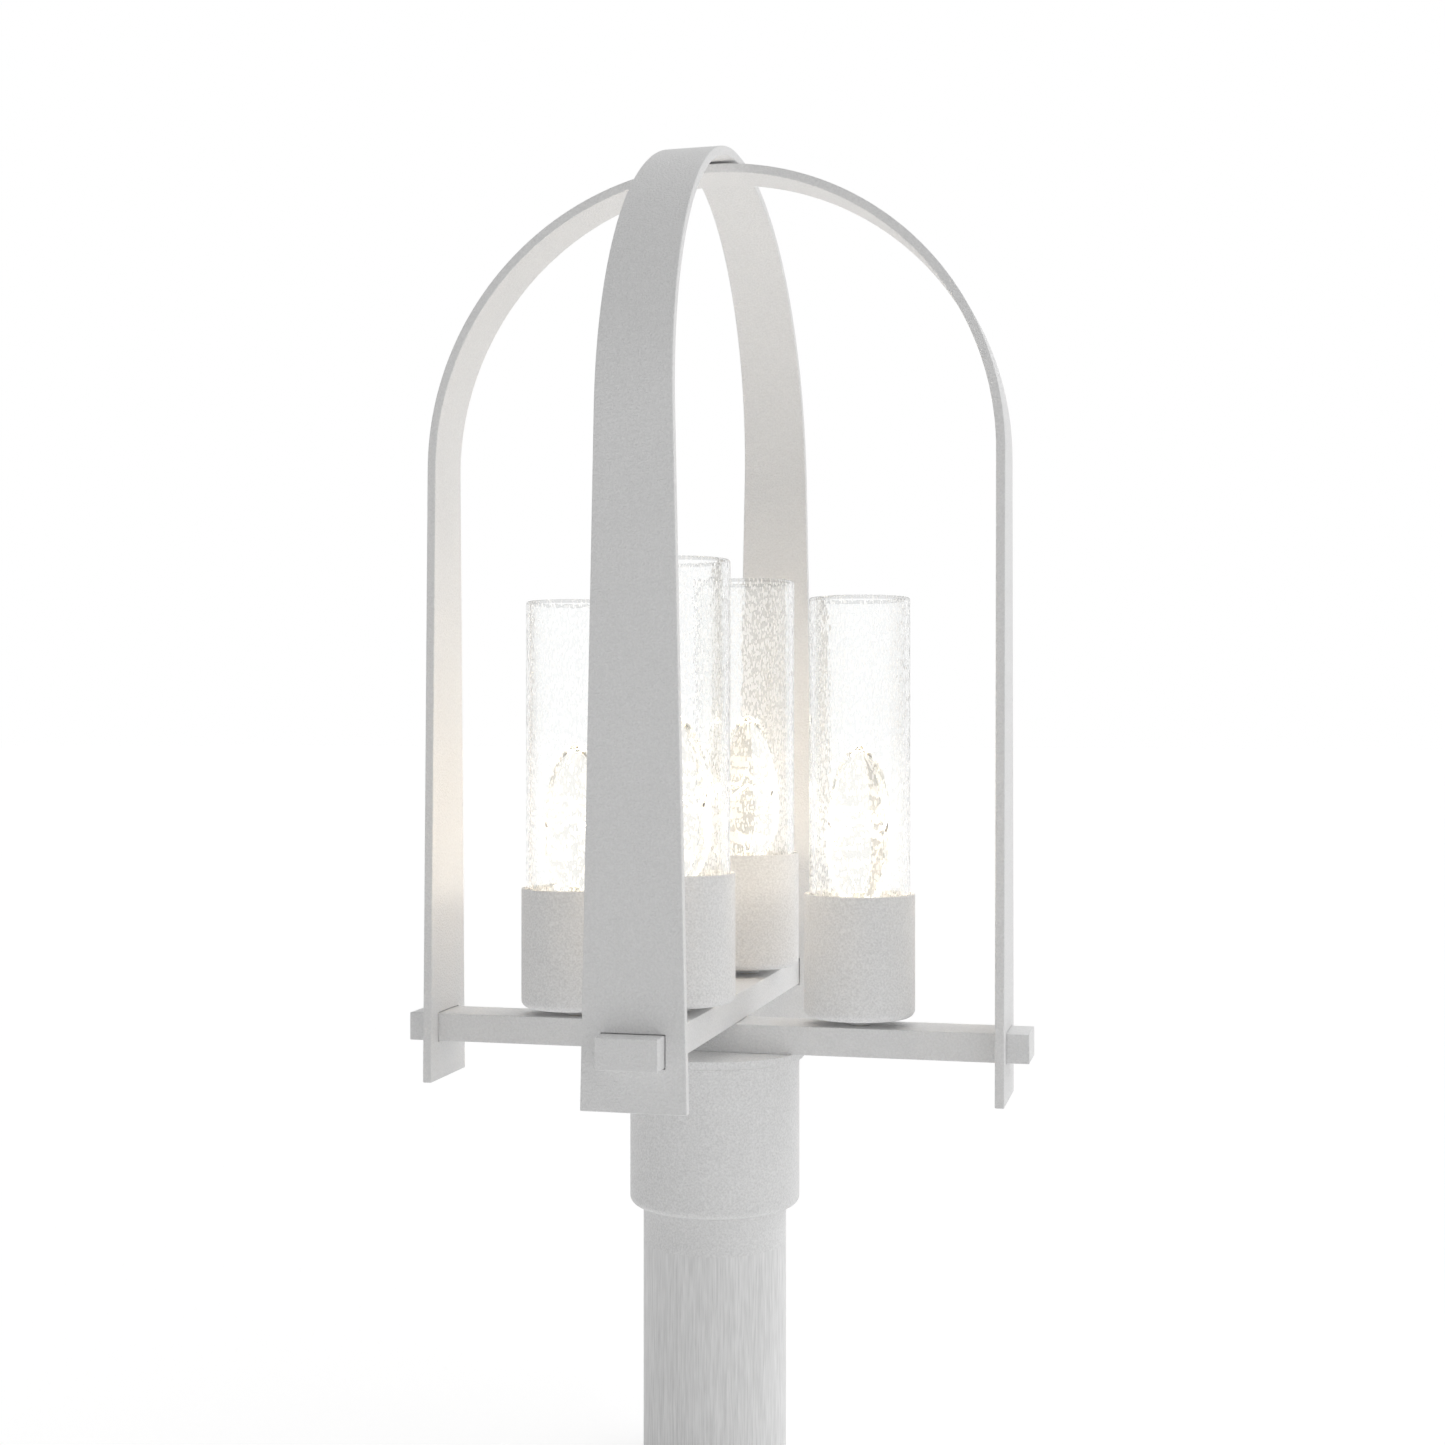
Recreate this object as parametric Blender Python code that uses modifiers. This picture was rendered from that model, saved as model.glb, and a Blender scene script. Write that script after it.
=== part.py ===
"""Four-light post-top lantern: two crossed bars, two crossed arch straps and four glass cylinders.

Units are metres and +Z is up. The origin is the centre of the post's cut foot. +X runs along
the lower bar, and the front of the lantern faces -Y.
"""

import math

import bmesh
import bpy
from mathutils import Vector

# Clearance between pieces that seat on each other and round a shank in its hole, and the
# distance below which two mesh points are one
GAP = 0.0003
HOLE_PLAY = 0.00045
WELD_DISTANCE = 1e-6

# Post: a length of 3 in tube that the lantern slips over
POST_RADIUS = 0.0381
POST_WALL = 0.0032
POST_BELOW_FITTER = 0.1330

# Fitter: a sleeve round the post with a wider plate on top
POST_CLEARANCE = 0.0008
SLEEVE_WALL = 0.0063
SLEEVE_LENGTH = 0.0776
SLEEVE_EDGE = 0.0038
PLATE_OVERHANG = 0.0025
PLATE_THICKNESS = 0.0038

# Set screws that grip the post
SET_SCREW_COUNT = 3
SET_SCREW_RADIUS = 0.003
SET_SCREW_DROP = 0.0126
SET_SCREW_RECESS = 0.0003
SET_SCREW_FIRST_ANGLE = math.radians(-105)
HEX_KEY_RADIUS = 0.0017
HEX_KEY_DEPTH = 0.0022

# Bars: closed rectangular tubes that cross on the plate
BAR_LENGTH = 0.3366
BAR_WIDTH = 0.030
BAR_HEIGHT = 0.015
BAR_WALL = 0.002
BAR_EDGE = 0.0006
WIRE_HOLE_PLAY = 0.0013

# Screws that clamp plate, lower bar and upper bar together
BAR_SCREW_RADIUS = 0.0025
BAR_SCREW_HEAD_RADIUS = 0.0042
BAR_SCREW_HEAD_HEIGHT = 0.003
BAR_SCREW_WALL_MARGIN = 0.0015
BAR_SCREW_TIP = 0.0035

# Arch straps: flat bar bent to a half circle on straight legs, tapering from foot to apex
ARCH_RISE = 0.4689
BAR_OVERHANG = 0.0117
LEG_DROP = 0.0213
STRAP_THICKNESS = 0.0048
STRAP_FOOT_WIDTH = 0.0512
STRAP_APEX_WIDTH = 0.028
STRAP_EDGE = 0.0005
SLOT_CLEARANCE = 0.0005
SADDLE_CLEARANCE = 0.0011
ARCH_SEGMENTS = 40

# Countersunk screw and washer where the straps cross
APEX_SCREW_RADIUS = 0.0022
APEX_HEAD_RADIUS = 0.0044
APEX_HEAD_DEPTH = 0.0024
APEX_BLIND_SKIN = 0.0012
APEX_WASHER_RADIUS = 0.007

# Lamp stems: spacer, hollow threaded nipple and nut that hold a cup on its bar
LAMP_OFFSET = 0.0784
SPACER_WALL = 0.00115
SPACER_HEIGHT = 0.0038
NIPPLE_RADIUS = 0.0050
NIPPLE_WALL = 0.0018
NIPPLE_TAIL = 0.0008
NUT_WALL = 0.002
NUT_HEIGHT = 0.004

# Cups
CUP_RADIUS = 0.0291
CUP_HEIGHT = 0.0647
CUP_WALL = 0.0016
CUP_FLOOR = 0.0020
CUP_CORNER = 0.0042

# Glass cylinders and the soft rings they stand on
GLASS_PLAY = 0.0009
GLASS_WALL = 0.0025
GLASS_LENGTH = 0.2140
SEAT_WIDTH = 0.0055
SEAT_HEIGHT = 0.0033

# Lamp sockets
SOCKET_HEIGHT = 0.049
SOCKET_WALL = 0.005
SOCKET_DEPTH = 0.018
SOCKET_FLOOR = 0.003
SOCKET_BASE = 0.004
CAP_PLAY = 0.0006

# Bulbs: candle shape on a small screw cap
CAP_RADIUS = 0.0059
CAP_LENGTH = 0.0215
CAP_SKIRT_RADIUS = 0.0070
CAP_SKIRT_HEIGHT = 0.0020
CAP_TIP_RADIUS = 0.0025
CAP_TIP_HEIGHT = 0.0050
BULB_RADIUS = 0.0178
BULB_NECK_RADIUS = 0.0068
BULB_BELLY_HEIGHT = 0.028
BULB_CROWN_HEIGHT = 0.055
BULB_WALL = 0.0008
STEM_RADIUS = 0.0022
STEM_HEIGHT = 0.008
FILAMENT_RADIUS = 0.0004
FILAMENT_SPREAD = 0.0125
FILAMENT_RISE = 0.0355
FILAMENT_DIP_COUNT = 2
FILAMENT_DIP = 0.007

# Lamp leads and the connector they meet in at the head of the post
LEAD_RADIUS = 0.0013
LEAD_SPACING = 0.0011
LEAD_BEND = 0.008
CONNECTOR_DROP = 0.040
CONNECTOR_WIDTH = 0.018
CONNECTOR_DEPTH = 0.014
CONNECTOR_HEIGHT = 0.016
CONNECTOR_EDGE = 0.0015

# Facets round each kind of turned piece
POST_STEPS = 48
CUP_STEPS = 26
GLASS_STEPS = 32
SEAT_STEPS = 18
BULB_STEPS = 16
SMALL_STEPS = 14
STEM_STEPS = 8
HEX_STEPS = 6
ARC_STEPS = 3
BULB_ARC_STEPS = 4
SMOOTH_ANGLE = math.radians(40)
BEVEL_ANGLE = math.radians(35)

# Radii that follow from the fits
SLEEVE_BORE_RADIUS = POST_RADIUS + POST_CLEARANCE
SLEEVE_RADIUS = SLEEVE_BORE_RADIUS + SLEEVE_WALL
PLATE_RADIUS = SLEEVE_RADIUS + PLATE_OVERHANG
CUP_BORE_RADIUS = CUP_RADIUS - CUP_WALL
GLASS_RADIUS = CUP_BORE_RADIUS - GLASS_PLAY
SOCKET_BORE_RADIUS = CAP_RADIUS + CAP_PLAY
SOCKET_RADIUS = SOCKET_BORE_RADIUS + SOCKET_WALL
NIPPLE_HOLE_RADIUS = NIPPLE_RADIUS + HOLE_PLAY
NIPPLE_BORE_RADIUS = NIPPLE_RADIUS - NIPPLE_WALL
SPACER_RADIUS = NIPPLE_HOLE_RADIUS + SPACER_WALL
NUT_RADIUS = (NIPPLE_RADIUS + NUT_WALL) / math.cos(math.pi / 6)
BAR_SCREW_HOLE_RADIUS = BAR_SCREW_RADIUS + HOLE_PLAY
APEX_HOLE_RADIUS = APEX_SCREW_RADIUS + HOLE_PLAY
SET_SCREW_HOLE_RADIUS = SET_SCREW_RADIUS + HOLE_PLAY
LEAD_SPREAD = (2 * LEAD_RADIUS + LEAD_SPACING) / math.sqrt(2)
WIRE_HOLE_RADIUS = LEAD_SPREAD + LEAD_RADIUS + WIRE_HOLE_PLAY
BAR_SCREW_OFFSET = BAR_WIDTH / 2 - BAR_WALL - BAR_SCREW_RADIUS - BAR_SCREW_WALL_MARGIN
ARCH_RADIUS = BAR_LENGTH / 2 - BAR_OVERHANG
ARCH_BORE_RADIUS = ARCH_RADIUS - STRAP_THICKNESS

# Heights above the post's foot
SLEEVE_TOP_Z = POST_BELOW_FITTER + SLEEVE_LENGTH
PLATE_Z = SLEEVE_TOP_Z + GAP
POST_TOP_Z = PLATE_Z - GAP
LOWER_BAR_Z = PLATE_Z + PLATE_THICKNESS + GAP
UPPER_BAR_Z = LOWER_BAR_Z + BAR_HEIGHT + GAP
STRAP_SAG = ARCH_BORE_RADIUS - math.sqrt(ARCH_BORE_RADIUS ** 2 - (STRAP_APEX_WIDTH / 2) ** 2)
CROSSING_GAP = STRAP_SAG + SADDLE_CLEARANCE
LOWER_APEX_Z = LOWER_BAR_Z + ARCH_RISE
UPPER_APEX_Z = LOWER_APEX_Z + CROSSING_GAP + STRAP_THICKNESS
CONNECTOR_TOP_Z = POST_TOP_Z - CONNECTOR_DROP

# Heights above the top of the bar that carries a lamp
SPACER_Z = GAP
CUP_Z = SPACER_Z + SPACER_HEIGHT + GAP
CUP_FLOOR_Z = CUP_Z + CUP_FLOOR
NUT_Z = CUP_FLOOR_Z + GAP
SOCKET_Z = NUT_Z + NUT_HEIGHT + GAP
NIPPLE_TOP_Z = SOCKET_Z + SOCKET_BASE - GAP
NIPPLE_Z = -BAR_WALL - NIPPLE_TAIL
SOCKET_TOP_Z = SOCKET_Z + SOCKET_HEIGHT
CAP_Z = SOCKET_TOP_Z - SOCKET_DEPTH + GAP
CAP_TOP_Z = CAP_Z + CAP_LENGTH
BULB_Z = CAP_TOP_Z + GAP
SEAT_Z = CUP_FLOOR_Z + GAP
GLASS_Z = SEAT_Z + SEAT_HEIGHT + GAP
LEAD_TOP_Z = SOCKET_TOP_Z - SOCKET_DEPTH - SOCKET_FLOOR - GAP

# Lamps by name: the side of the lantern they stand on and the bar that carries them
LAMPS = {
    "right": (0.0, LOWER_BAR_Z),
    "left": (math.pi, LOWER_BAR_Z),
    "front": (-math.pi / 2, UPPER_BAR_Z),
    "back": (math.pi / 2, UPPER_BAR_Z),
}

# Material name: colour, roughness, metallic
FINISHES = {
    "white_powder_coat": ((0.78, 0.78, 0.77), 0.60, 0.0),
    "seeded_glass": ((0.93, 0.95, 0.95), 0.06, 0.0),
    "bulb_glass": ((1.00, 0.97, 0.90), 0.04, 0.0),
    "brass": ((0.72, 0.55, 0.27), 0.35, 1.0),
    "tungsten": ((1.00, 0.82, 0.50), 0.45, 1.0),
    "black_socket": ((0.04, 0.04, 0.04), 0.55, 0.0),
    "clear_silicone": ((0.82, 0.82, 0.80), 0.50, 0.0),
    "lead_jacket": ((0.85, 0.84, 0.80), 0.50, 0.0),
    "connector_nylon": ((0.80, 0.80, 0.78), 0.45, 0.0),
    "zinc_steel": ((0.62, 0.63, 0.64), 0.35, 1.0),
}


def clear_scene():
    """Remove what the file starts with."""
    for leftover in list(bpy.data.objects):
        bpy.data.objects.remove(leftover, do_unlink=True)


def make_collection(name):
    """Add a collection to the scene."""
    collection = bpy.data.collections.new(name)
    bpy.context.scene.collection.children.link(collection)
    return collection


def make_materials():
    """Make one Principled material for each finish."""
    materials = {}
    for name, (colour, roughness, metallic) in FINISHES.items():
        material = bpy.data.materials.new(name)
        material.use_nodes = True
        shader = material.node_tree.nodes["Principled BSDF"]
        shader.inputs["Base Color"].default_value = (*colour, 1.0)
        shader.inputs["Roughness"].default_value = roughness
        shader.inputs["Metallic"].default_value = metallic
        materials[name] = material
    return materials


def add_object(name, data, place=(0, 0, 0), turn=(0, 0, 0), parent=None):
    """Link an object to the lantern's collection."""
    thing = bpy.data.objects.new(name, data)
    thing.location = place
    thing.rotation_euler = turn
    thing.parent = parent
    PARTS.objects.link(thing)
    return thing


def add_piece(name, mesh, finish, place=(0, 0, 0), turn=(0, 0, 0), parent=None):
    """Add one sub-part with its finish."""
    piece = add_object(name, mesh, place, turn, parent)
    if not mesh.materials:
        mesh.materials.append(MATERIALS[finish])
    return piece


def baked_mesh(thing):
    """Return a piece's evaluated mesh with welded caps and smooth sides, and remove the piece."""
    bpy.context.view_layer.update()
    evaluated = thing.evaluated_get(bpy.context.evaluated_depsgraph_get())
    mesh = bpy.data.meshes.new_from_object(evaluated)
    mesh.name = thing.name
    shape = bmesh.new()
    shape.from_mesh(mesh)
    bmesh.ops.remove_doubles(shape, verts=shape.verts, dist=WELD_DISTANCE)
    shape.to_mesh(mesh)
    shape.free()
    mesh.shade_smooth()
    mesh.set_sharp_from_angle(angle=SMOOTH_ANGLE)
    bpy.data.objects.remove(thing, do_unlink=True)
    return mesh


def turned_mesh(name, profile, steps, closed=False):
    """Turn a profile of (radius, height) points, listed down its outer side, about Z."""
    mesh = bpy.data.meshes.new(name)
    shape = bmesh.new()
    points = [shape.verts.new((radius, 0, height)) for radius, height in profile]
    for first, second in zip(points, points[1:]):
        shape.edges.new((first, second))
    if closed:
        shape.edges.new((points[-1], points[0]))
    shape.to_mesh(mesh)
    shape.free()
    blank = add_object(name, mesh)
    screw = blank.modifiers.new("Turn", "SCREW")
    screw.steps = steps
    screw.render_steps = steps
    screw.use_merge_vertices = True
    screw.merge_threshold = WELD_DISTANCE
    return baked_mesh(blank)


def ring_mesh(name, bore, radius, height, steps):
    """Turn a plain ring that stands on its local origin."""
    profile = [(radius, height), (radius, 0), (bore, 0), (bore, height)]
    return turned_mesh(name, profile, steps, closed=True)


def box_mesh(name, size):
    """Make a box of the given size."""
    mesh = bpy.data.meshes.new(name)
    shape = bmesh.new()
    bmesh.ops.create_cube(shape, size=1.0)
    bmesh.ops.scale(shape, vec=size, verts=shape.verts)
    shape.to_mesh(mesh)
    shape.free()
    return mesh


def prism_mesh(name, radius, low, high, sides, tip_radius=None):
    """Make an upright prism or cone between two heights."""
    mesh = bpy.data.meshes.new(name)
    shape = bmesh.new()
    top = radius if tip_radius is None else tip_radius
    bmesh.ops.create_cone(shape, cap_ends=True, segments=sides, radius1=radius, radius2=top,
                          depth=high - low)
    bmesh.ops.translate(shape, vec=(0, 0, (low + high) / 2), verts=shape.verts)
    shape.to_mesh(mesh)
    shape.free()
    return mesh


def cut(piece, name, mesh, place=(0, 0, 0), turn=(0, 0, 0)):
    """Cut a mesh, placed in the world, out of a piece."""
    cutter = bpy.data.objects.new(name, mesh)
    cutter.location = place
    cutter.rotation_euler = turn
    cutter.hide_render = True
    cutter.display_type = "WIRE"
    CUTTERS.objects.link(cutter)
    modifier = piece.modifiers.new(name, "BOOLEAN")
    modifier.operation = "DIFFERENCE"
    modifier.object = cutter


def drill(piece, name, radius, low, high, x=0.0, y=0.0):
    """Drill an upright hole between two heights."""
    cut(piece, name, prism_mesh(name, radius, low, high, SMALL_STEPS), (x, y, 0))


def bevel(piece, width):
    """Ease a piece's sharp edges."""
    modifier = piece.modifiers.new("Edges", "BEVEL")
    modifier.width = width
    modifier.segments = 1
    modifier.limit_method = "ANGLE"
    modifier.angle_limit = BEVEL_ANGLE


def keyed_mesh(screw, face):
    """Sink a hexagon key socket into a screw's end face, and return the screw's mesh."""
    name = f"{screw.name}_socket"
    socket = prism_mesh(name, HEX_KEY_RADIUS, face - HEX_KEY_DEPTH, face + HEX_KEY_DEPTH, HEX_STEPS)
    cut(screw, name, socket)
    return baked_mesh(screw)


def arc(centre, radius, start, end, steps):
    """Return profile points on an arc, angles in degrees."""
    points = []
    for step in range(steps + 1):
        angle = math.radians(start + (end - start) * step / steps)
        points.append((centre[0] + radius * math.cos(angle), centre[1] + radius * math.sin(angle)))
    return points


def make_post():
    """Make the length of post under the lantern."""
    mesh = ring_mesh("post", POST_RADIUS - POST_WALL, POST_RADIUS, POST_TOP_Z, POST_STEPS)
    add_piece("post", mesh, "white_powder_coat")


def bar_screw_places():
    """Return the two bar screws' places, on a diagonal clear of the leads."""
    return [(BAR_SCREW_OFFSET, BAR_SCREW_OFFSET), (-BAR_SCREW_OFFSET, -BAR_SCREW_OFFSET)]


def sleeve_mesh():
    """Turn the sleeve with its rounded lower edge."""
    edge = arc((SLEEVE_RADIUS - SLEEVE_EDGE, SLEEVE_EDGE), SLEEVE_EDGE, 0, -90, ARC_STEPS)
    profile = [(SLEEVE_RADIUS, SLEEVE_LENGTH)] + edge
    profile += [(SLEEVE_BORE_RADIUS, 0), (SLEEVE_BORE_RADIUS, SLEEVE_LENGTH)]
    return turned_mesh("fitter_sleeve", profile, POST_STEPS, closed=True)


def make_fitter(lantern):
    """Make the sleeve, its plate and the set screws."""
    sleeve = add_piece("fitter_sleeve", sleeve_mesh(), "white_powder_coat", (0, 0, POST_BELOW_FITTER),
                       parent=lantern)
    plate_mesh = ring_mesh("fitter_plate", WIRE_HOLE_RADIUS, PLATE_RADIUS, PLATE_THICKNESS, POST_STEPS)
    plate = add_piece("fitter_plate", plate_mesh, "white_powder_coat", (0, 0, PLATE_Z), parent=lantern)
    for index, (x, y) in enumerate(bar_screw_places(), start=1):
        drill(plate, f"plate_screw_hole_{index}", BAR_SCREW_HOLE_RADIUS,
              PLATE_Z - PLATE_THICKNESS, LOWER_BAR_Z + PLATE_THICKNESS, x, y)

    screw_start = POST_RADIUS + GAP
    screw_end = SLEEVE_RADIUS - SET_SCREW_RECESS
    blank_mesh = prism_mesh("set_screw", SET_SCREW_RADIUS, screw_start, screw_end, SMALL_STEPS)
    screw_mesh = keyed_mesh(add_object("set_screw", blank_mesh), screw_end)
    height = SLEEVE_TOP_Z - SET_SCREW_DROP
    for index in range(SET_SCREW_COUNT):
        angle = SET_SCREW_FIRST_ANGLE + index * math.tau / SET_SCREW_COUNT
        turn = (0, math.pi / 2, angle)
        add_piece(f"set_screw_{index + 1}", screw_mesh, "zinc_steel", (0, 0, height), turn, lantern)
        hole = prism_mesh(f"set_screw_hole_{index + 1}", SET_SCREW_HOLE_RADIUS,
                          POST_RADIUS - SLEEVE_WALL, SLEEVE_RADIUS + SLEEVE_WALL, SMALL_STEPS)
        cut(sleeve, f"set_screw_hole_{index + 1}", hole, (0, 0, height), turn)


def make_bar(name, base_z, along_x, lantern):
    """Make one hollow bar with closed ends and lead holes under its lamps."""
    size = Vector((BAR_LENGTH, BAR_WIDTH, BAR_HEIGHT))
    turn = (0, 0, 0 if along_x else math.pi / 2)
    middle = (0, 0, base_z + BAR_HEIGHT / 2)
    bar = add_piece(name, box_mesh(name, size), "white_powder_coat", middle, turn, lantern)
    bevel(bar, BAR_EDGE)
    inside = size - 2 * Vector((BAR_WALL, BAR_WALL, BAR_WALL))
    cut(bar, f"{name}_inside", box_mesh(f"{name}_inside", inside), middle, turn)
    top = base_z + BAR_HEIGHT
    for side in (1, -1):
        x = side * LAMP_OFFSET if along_x else 0.0
        y = 0.0 if along_x else side * LAMP_OFFSET
        drill(bar, f"{name}_hole_{side}", NIPPLE_HOLE_RADIUS, top - BAR_HEIGHT / 2, top + BAR_WALL, x, y)
    return bar


def make_bars(lantern):
    """Make both bars and the screws that clamp them to the plate."""
    lower = make_bar("lower_bar", LOWER_BAR_Z, True, lantern)
    upper = make_bar("upper_bar", UPPER_BAR_Z, False, lantern)
    below = LOWER_BAR_Z - BAR_WALL
    above = UPPER_BAR_Z + BAR_HEIGHT / 2
    for bar, name, high in ((lower, "lower_bar", UPPER_BAR_Z), (upper, "upper_bar", above)):
        drill(bar, f"{name}_wire_hole", WIRE_HOLE_RADIUS, below, high)
        for index, (x, y) in enumerate(bar_screw_places(), start=1):
            drill(bar, f"{name}_screw_hole_{index}", BAR_SCREW_HOLE_RADIUS, below, high, x, y)

    head_top = PLATE_Z - GAP
    tip = UPPER_BAR_Z + BAR_WALL + BAR_SCREW_TIP
    head_low = head_top - BAR_SCREW_HEAD_HEIGHT
    profile = [(0, tip), (BAR_SCREW_RADIUS, tip), (BAR_SCREW_RADIUS, head_top),
               (BAR_SCREW_HEAD_RADIUS, head_top), (BAR_SCREW_HEAD_RADIUS, head_low), (0, head_low)]
    blank = add_object("bar_screw", turned_mesh("bar_screw", profile, SMALL_STEPS))
    screw_mesh = keyed_mesh(blank, head_low)
    for index, (x, y) in enumerate(bar_screw_places(), start=1):
        add_piece(f"bar_screw_{index}", screw_mesh, "zinc_steel", (x, y, 0), parent=lantern)


def strap_mesh(name, foot_z, apex_z):
    """Bend a grid strip up one leg, over a half circle and down the other, in the XZ plane."""
    leg = apex_z - ARCH_RADIUS - foot_z
    round_length = math.pi * ARCH_RADIUS
    full_length = 2 * leg + round_length
    stations = [0.0]
    stations += [leg + round_length * step / ARCH_SEGMENTS for step in range(ARCH_SEGMENTS + 1)]
    stations += [full_length]
    mesh = bpy.data.meshes.new(name)
    shape = bmesh.new()
    bmesh.ops.create_grid(shape, x_segments=len(stations) - 1, y_segments=1, size=0.5)
    for vertex in shape.verts:
        station = stations[round((vertex.co.x + 0.5) * (len(stations) - 1))]
        edge = math.copysign(0.5, vertex.co.y)
        reach = min(station, full_length - station) / (full_length / 2)
        width = STRAP_FOOT_WIDTH + (STRAP_APEX_WIDTH - STRAP_FOOT_WIDTH) * reach
        turn = math.pi * min(max((station - leg) / round_length, 0.0), 1.0)
        straight = min(station, leg, full_length - station)
        vertex.co = (-ARCH_RADIUS * math.cos(turn), edge * width,
                     foot_z + straight + ARCH_RADIUS * math.sin(turn))
    shape.to_mesh(mesh)
    shape.free()
    return mesh


def make_arch(name, bar_z, apex_z, along_x, lantern):
    """Make one arch strap with a slot for the bar through each leg."""
    turn = (0, 0, 0 if along_x else math.pi / 2)
    strip = strap_mesh(name, bar_z - LEG_DROP, apex_z)
    arch = add_piece(name, strip, "white_powder_coat", turn=turn, parent=lantern)
    shell = arch.modifiers.new("Thickness", "SOLIDIFY")
    shell.thickness = STRAP_THICKNESS
    shell.offset = -1
    shell.use_even_offset = True
    bevel(arch, STRAP_EDGE)
    slot_size = (BAR_LENGTH, BAR_WIDTH + 2 * SLOT_CLEARANCE, BAR_HEIGHT + 2 * SLOT_CLEARANCE)
    cut(arch, f"{name}_slots", box_mesh(f"{name}_slots", slot_size), (0, 0, bar_z + BAR_HEIGHT / 2), turn)
    return arch


def make_arches(lantern):
    """Make both arches, and the washer and countersunk screw where they cross."""
    lower = make_arch("lower_arch", LOWER_BAR_Z, LOWER_APEX_Z, True, lantern)
    upper = make_arch("upper_arch", UPPER_BAR_Z, UPPER_APEX_Z, False, lantern)
    hole_low = LOWER_APEX_Z - STRAP_THICKNESS + APEX_BLIND_SKIN
    hole_high = UPPER_APEX_Z + STRAP_THICKNESS
    for arch, name in ((lower, "lower_arch"), (upper, "upper_arch")):
        drill(arch, f"{name}_apex_hole", APEX_HOLE_RADIUS, hole_low, hole_high)
    top = UPPER_APEX_Z - GAP
    neck = top - APEX_HEAD_DEPTH
    taper = APEX_HEAD_RADIUS - APEX_SCREW_RADIUS
    sink = prism_mesh("upper_arch_sink", APEX_HOLE_RADIUS, neck, top + APEX_HEAD_DEPTH, SMALL_STEPS,
                      APEX_HOLE_RADIUS + 2 * taper)
    cut(upper, "upper_arch_sink", sink)

    tip = hole_low + GAP
    profile = [(0, top), (APEX_HEAD_RADIUS, top), (APEX_SCREW_RADIUS, neck),
               (APEX_SCREW_RADIUS, tip), (0, tip)]
    blank = add_object("apex_screw", turned_mesh("apex_screw", profile, SMALL_STEPS))
    add_piece("apex_screw", keyed_mesh(blank, top), "zinc_steel", parent=lantern)
    washer_height = CROSSING_GAP - 2 * GAP
    washer = ring_mesh("apex_washer", APEX_HOLE_RADIUS, APEX_WASHER_RADIUS, washer_height, SMALL_STEPS)
    add_piece("apex_washer", washer, "zinc_steel", (0, 0, LOWER_APEX_Z + GAP), parent=lantern)


def cup_mesh():
    """Turn a cup with a rounded foot and a hole for its nipple."""
    bore_corner = max(CUP_CORNER - CUP_WALL, GAP)
    outside = arc((CUP_RADIUS - CUP_CORNER, CUP_CORNER), CUP_CORNER, 0, -90, ARC_STEPS)
    bore_centre = (CUP_BORE_RADIUS - bore_corner, CUP_FLOOR + bore_corner)
    inside = arc(bore_centre, bore_corner, -90, 0, ARC_STEPS - 1)
    profile = [(CUP_RADIUS, CUP_HEIGHT)] + outside
    profile += [(NIPPLE_HOLE_RADIUS, 0), (NIPPLE_HOLE_RADIUS, CUP_FLOOR)]
    profile += inside + [(CUP_BORE_RADIUS, CUP_HEIGHT)]
    return turned_mesh("cup", profile, CUP_STEPS, closed=True)


def seat_mesh():
    """Turn the soft ring under a glass, eased to clear the cup's inner corner."""
    bore = GLASS_RADIUS - SEAT_WIDTH
    ease = max(CUP_CORNER - CUP_WALL, GAP)
    profile = [(GLASS_RADIUS, SEAT_HEIGHT), (GLASS_RADIUS, min(ease, SEAT_HEIGHT - GAP)),
               (GLASS_RADIUS - ease, 0), (bore, 0), (bore, SEAT_HEIGHT)]
    return turned_mesh("glass_seat", profile, SEAT_STEPS, closed=True)


def nut_mesh():
    """Make a hexagon nut with a round bore."""
    blank = add_object("cup_nut", prism_mesh("cup_nut", NUT_RADIUS, 0, NUT_HEIGHT, HEX_STEPS))
    drill(blank, "cup_nut_bore", NIPPLE_HOLE_RADIUS, -NUT_HEIGHT, 2 * NUT_HEIGHT)
    return baked_mesh(blank)


def socket_mesh():
    """Turn a lamp socket: a well for the cap above, a lead chamber below."""
    well_floor = SOCKET_HEIGHT - SOCKET_DEPTH
    profile = [(0, well_floor), (SOCKET_BORE_RADIUS, well_floor), (SOCKET_BORE_RADIUS, SOCKET_HEIGHT),
               (SOCKET_RADIUS, SOCKET_HEIGHT), (SOCKET_RADIUS, 0), (NIPPLE_HOLE_RADIUS, 0),
               (NIPPLE_HOLE_RADIUS, SOCKET_BASE), (SOCKET_BORE_RADIUS, SOCKET_BASE),
               (SOCKET_BORE_RADIUS, well_floor - SOCKET_FLOOR), (0, well_floor - SOCKET_FLOOR)]
    return turned_mesh("socket", profile, SMALL_STEPS)


def cap_mesh():
    """Turn a bulb's screw cap with its skirt and end contact."""
    profile = [(0, CAP_LENGTH), (CAP_SKIRT_RADIUS, CAP_LENGTH), (CAP_RADIUS, CAP_LENGTH - CAP_SKIRT_HEIGHT),
               (CAP_RADIUS, CAP_TIP_HEIGHT), (CAP_TIP_RADIUS, 0), (0, 0)]
    return turned_mesh("bulb_cap", profile, SMALL_STEPS)


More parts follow.
